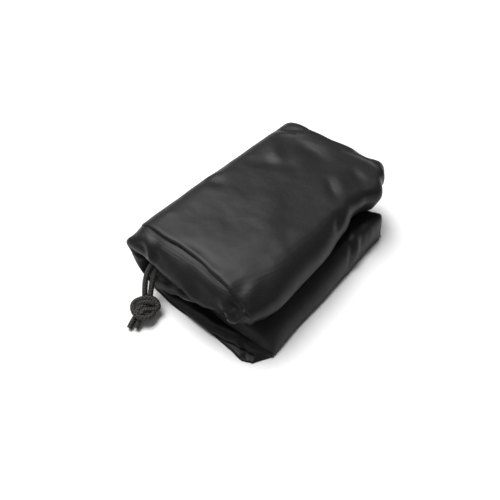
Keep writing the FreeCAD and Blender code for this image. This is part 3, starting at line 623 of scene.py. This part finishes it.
# calendered nylon taffeta, dyed black: a fine plain weave with a soft satin gloss where light grazes it
nylon, tree, shader = newMaterial("dyedNylonTaffeta")
place = addNode(tree, "ShaderNodeTexCoord").outputs["Object"]
threadScale = math.pi / 10 / (taffeta["threadPitch"] * mm)
threads = []
for way in "XYZ":
    wave = addNode(tree, "ShaderNodeTexWave", dict(wave_type="BANDS", bands_direction=way, wave_profile="SIN",
                                                   Scale=threadScale, Distortion=0.6, Detail=1),
                   dict(Vector=place))
    threads.append(wave.outputs["Fac"])
weaveXY = addNode(tree, "ShaderNodeMath", dict(operation="MULTIPLY"), {0: threads[0], 1: threads[1]})
weave = addNode(tree, "ShaderNodeMath", dict(operation="ADD"), {0: weaveXY.outputs[0], 1: threads[2]})
slub = addNode(tree, "ShaderNodeTexNoise", dict(Scale=900, Detail=3, Roughness=0.7), dict(Vector=place))
sag = addNode(tree, "ShaderNodeTexNoise", dict(Scale=38, Detail=4, Roughness=0.55), dict(Vector=place))
sagBump = addNode(tree, "ShaderNodeBump", dict(Strength=0.35, Distance=taffeta["rumpleHeight"] * mm),
                  dict(Height=sag.outputs["Fac"]))
slubBump = addNode(tree, "ShaderNodeBump", dict(Strength=0.25, Distance=taffeta["slubHeight"] * mm),
                   dict(Height=slub.outputs["Fac"], Normal=sagBump.outputs["Normal"]))
weaveBump = addNode(tree, "ShaderNodeBump", dict(Strength=0.3, Distance=taffeta["weaveHeight"] * mm),
                    dict(Height=weave.outputs[0], Normal=slubBump.outputs["Normal"]))
dye = addNode(tree, "ShaderNodeValToRGB", dict(shades=taffeta["shades"]), dict(Fac=slub.outputs["Fac"]))
tree.links.new(dye.outputs["Color"], shader.inputs["Base Color"])
tree.links.new(weaveBump.outputs["Normal"], shader.inputs["Normal"])
shader.inputs["Roughness"].default_value = 0.43
shader.inputs["IOR"].default_value = 1.53
shader.inputs["Specular IOR Level"].default_value = 0.16
shader.inputs["Sheen Weight"].default_value = 0.03
shader.inputs["Sheen Roughness"].default_value = 0.4
shader.inputs["Sheen Tint"].default_value = hexColour("b9b6b4")
for piece in (lowerSkin, upperSkin, spineSkin):
    piece.data.materials.append(nylon)

edge = dict(
    # a painted highlight: shades far paler than the cloth's, for the light caught along the seam's edge
    shades=[(0, "2c2a2a"), (1, "5a5757")],
    edgeNoiseHeight=0.2,
)

# the same cloth where two edges are sewn and bound, given much paler shades as a painted highlight of the edge
# catching light; a noise varies that tone and bumps the surface
binding, tree, shader = newMaterial("nylonEdgePaintedHighlight")
place = addNode(tree, "ShaderNodeTexCoord").outputs["Object"]
edgeNoise = addNode(tree, "ShaderNodeTexNoise", dict(Scale=260, Detail=3), dict(Vector=place))
# the noise picks between the two pale shades of the painted highlight
dye = addNode(tree, "ShaderNodeValToRGB", dict(shades=edge["shades"]), dict(Fac=edgeNoise.outputs["Fac"]))
edgeNoiseBump = addNode(tree, "ShaderNodeBump", dict(Strength=0.4, Distance=edge["edgeNoiseHeight"] * mm),
                  dict(Height=edgeNoise.outputs["Fac"]))
tree.links.new(dye.outputs["Color"], shader.inputs["Base Color"])
tree.links.new(edgeNoiseBump.outputs["Normal"], shader.inputs["Normal"])
shader.inputs["Roughness"].default_value = 0.6
for piece in (lowerSeam, upperSeam):
    piece.data.materials.append(binding)

braid = dict(
    # shades: black in the grooves between yarn bundles, painted shade, and paler on their crowns, painted
    # highlight
    shades=[(0.15, "080808"), (0.95, "2c2926")],
    bundles=4,         # round the cord, each way
    pitch=2.4,         # along it
    height=0.35,
)


# braided polyester cord: pairs of yarn bundles cross in a herringbone; the colour follows their height, paler
# on their crowns as a painted highlight and black between them as painted shade
def braidedPolyester(length):
    made, tree, shader = newMaterial(f"braidedPolyester{length}mm")
    cordUv = addNode(tree, "ShaderNodeUVMap", dict(uv_map="UVMap")).outputs["UV"]
    split = addNode(tree, "ShaderNodeSeparateXYZ", links=dict(Vector=cordUv))
    crowns = []
    for turn in (1, -1):        # the two families of yarn, one wound each way
        lead = addNode(tree, "ShaderNodeMath", {"operation": "MULTIPLY", 1: length / braid["pitch"]},
                       {0: split.outputs["X"]})
        winding = addNode(tree, "ShaderNodeMath", {"operation": "MULTIPLY_ADD", 1: turn * braid["bundles"]},
                          {0: split.outputs["Y"], 2: lead.outputs[0]})
        angle = addNode(tree, "ShaderNodeMath", {"operation": "MULTIPLY", 1: 2 * math.pi},
                        {0: winding.outputs[0]})
        crown = addNode(tree, "ShaderNodeMath", dict(operation="SINE"), {0: angle.outputs[0]})
        crowns.append(crown.outputs[0])
    crossing = addNode(tree, "ShaderNodeMath", dict(operation="MAXIMUM"), {0: crowns[0], 1: crowns[1]})
    # painted shade in the grooves and a painted highlight on the crowns, by the yarn's height
    yarnShadeAndHighlight = addNode(tree, "ShaderNodeValToRGB", dict(shades=braid["shades"]), dict(Fac=crossing.outputs[0]))
    yarnBump = addNode(tree, "ShaderNodeBump", dict(Strength=0.9, Distance=braid["height"] * mm),
                       dict(Height=crossing.outputs[0]))
    tree.links.new(yarnShadeAndHighlight.outputs["Color"], shader.inputs["Base Color"])
    tree.links.new(yarnBump.outputs["Normal"], shader.inputs["Normal"])
    shader.inputs["Roughness"].default_value = 0.6
    return made


# a cord's UV map runs from 0 to 1 along it, so the braid is made for each length, in millimetres
shortBraid = braidedPolyester(17)
for piece, look in ((strandLeft, braidedPolyester(58)), (strandRight, braidedPolyester(57)),
                    (tailLeft, shortBraid), (tailRight, shortBraid), (knotPiece, braidedPolyester(86))):
    piece.data.materials.append(look)


# a finish with fine grain: the colour wanders between two shades and the surface is a little uneven
def fineFinish(name, dark, pale, roughness, scale, grainHeight, metallic=0.0, strength=0.4):
    made, tree, shader = newMaterial(name)
    place = addNode(tree, "ShaderNodeTexCoord").outputs["Object"]
    grain = addNode(tree, "ShaderNodeTexNoise", dict(Scale=scale, Detail=4, Roughness=0.6),
                    dict(Vector=place))
    dye = addNode(tree, "ShaderNodeValToRGB", dict(shades=[(0.35, dark), (0.65, pale)]),
                  dict(Fac=grain.outputs["Fac"]))
    uneven = addNode(tree, "ShaderNodeBump", dict(Strength=strength, Distance=grainHeight * mm),
                     dict(Height=grain.outputs["Fac"]))
    tree.links.new(dye.outputs["Color"], shader.inputs["Base Color"])
    tree.links.new(uneven.outputs["Normal"], shader.inputs["Normal"])
    shader.inputs["Roughness"].default_value = roughness
    shader.inputs["Metallic"].default_value = metallic
    return made


finishes = {
    # rubber-coated nylon, dense black, nearly matt
    fineFinish("coatedBlackoutNylon", "0e0e0f", "18181a", 0.62, 1400, 0.1): ["chamber_cloth_"],
    # plain polyester lining, a shade paler, with a slight gloss
    fineFinish("polyesterLining", "202022", "2e2e31", 0.5, 1800, 0.08): ["chamber_lining_", "_sleeve"],
    # knitted elastic, ribbed and dull
    fineFinish("knittedElastic", "1b1b1b", "343434", 0.85, 700, 0.3, strength=0.7): ["_elastic"],
    # woven polyester tape, dull and even
    fineFinish("wovenZipTape", "141414", "222222", 0.75, 2200, 0.1): ["_zip_tape_"],
    # moulded acetal, smooth with a soft highlight
    fineFinish("mouldedAcetal", "151515", "1c1c1c", 0.35, 300, 0.03): ["_zip_teeth", "_zip_stops"],
    # black-painted zinc die casting, with a hard gloss
    fineFinish("paintedZinc", "101010", "26262a", 0.3, 500, 0.03, metallic=0.4): ["_zip_slider", "_zip_pull"],
}
for finish, words in finishes.items():
    for name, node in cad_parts.items():
        if any(word in name for word in words):
            for piece in (node, turns.get(name, node)):
                piece.data.materials.clear()
                piece.data.materials.append(finish)
print("finishes", len(bpy.data.materials))

studio = dict(
    floorSize=3,           # from its middle to its edge, in metres
    floorColour="f2f2f2",
    skyColour="ffffff",
    skyStrength=0.2,
    softboxPlace=(-1.1, 0.1, 2.4),
    softboxSize=1.8,
    softboxPower=118,
    cameraPlace=(0.1772, -0.2273, 0.3392),
    cameraTilt=40,         # degrees from straight down
    cameraTurn=42,         # degrees about the upright
    lens=35,
    sensor=36,
)

floorMesh = bpy.data.meshes.new("floor")
bm = bmesh.new()
bmesh.ops.create_grid(bm, x_segments=2, y_segments=2, size=studio["floorSize"])
bm.to_mesh(floorMesh)
bm.free()
floor = addObject("floor", floorMesh)
# matt white paper
paper, tree, shader = newMaterial("matPaperTable")
shader.inputs["Base Color"].default_value = hexColour(studio["floorColour"])
shader.inputs["Roughness"].default_value = 0.8
floorMesh.materials.append(paper)

world = bpy.data.worlds.new("studio")
bpy.context.scene.world = world
world.use_nodes = True
world.node_tree.nodes["Background"].inputs["Color"].default_value = hexColour(studio["skyColour"])
world.node_tree.nodes["Background"].inputs["Strength"].default_value = studio["skyStrength"]

softboxData = bpy.data.lights.new("softboxAbove", "AREA")
softboxData.size = studio["softboxSize"]
softboxData.energy = studio["softboxPower"]
softbox = addObject("softboxAbove", softboxData)
softbox.location = studio["softboxPlace"]
softbox.rotation_euler = (-Vector(studio["softboxPlace"])).to_track_quat("-Z", "Y").to_euler()

camera = addObject("camera", bpy.data.cameras.new("camera"))
camera.data.lens = studio["lens"]
camera.data.sensor_width = studio["sensor"]
camera.location = studio["cameraPlace"]
camera.rotation_euler = (math.radians(studio["cameraTilt"]), 0, math.radians(studio["cameraTurn"]))
bpy.context.scene.camera = camera
bpy.context.scene.view_settings.view_transform = "Standard"
print("studio")
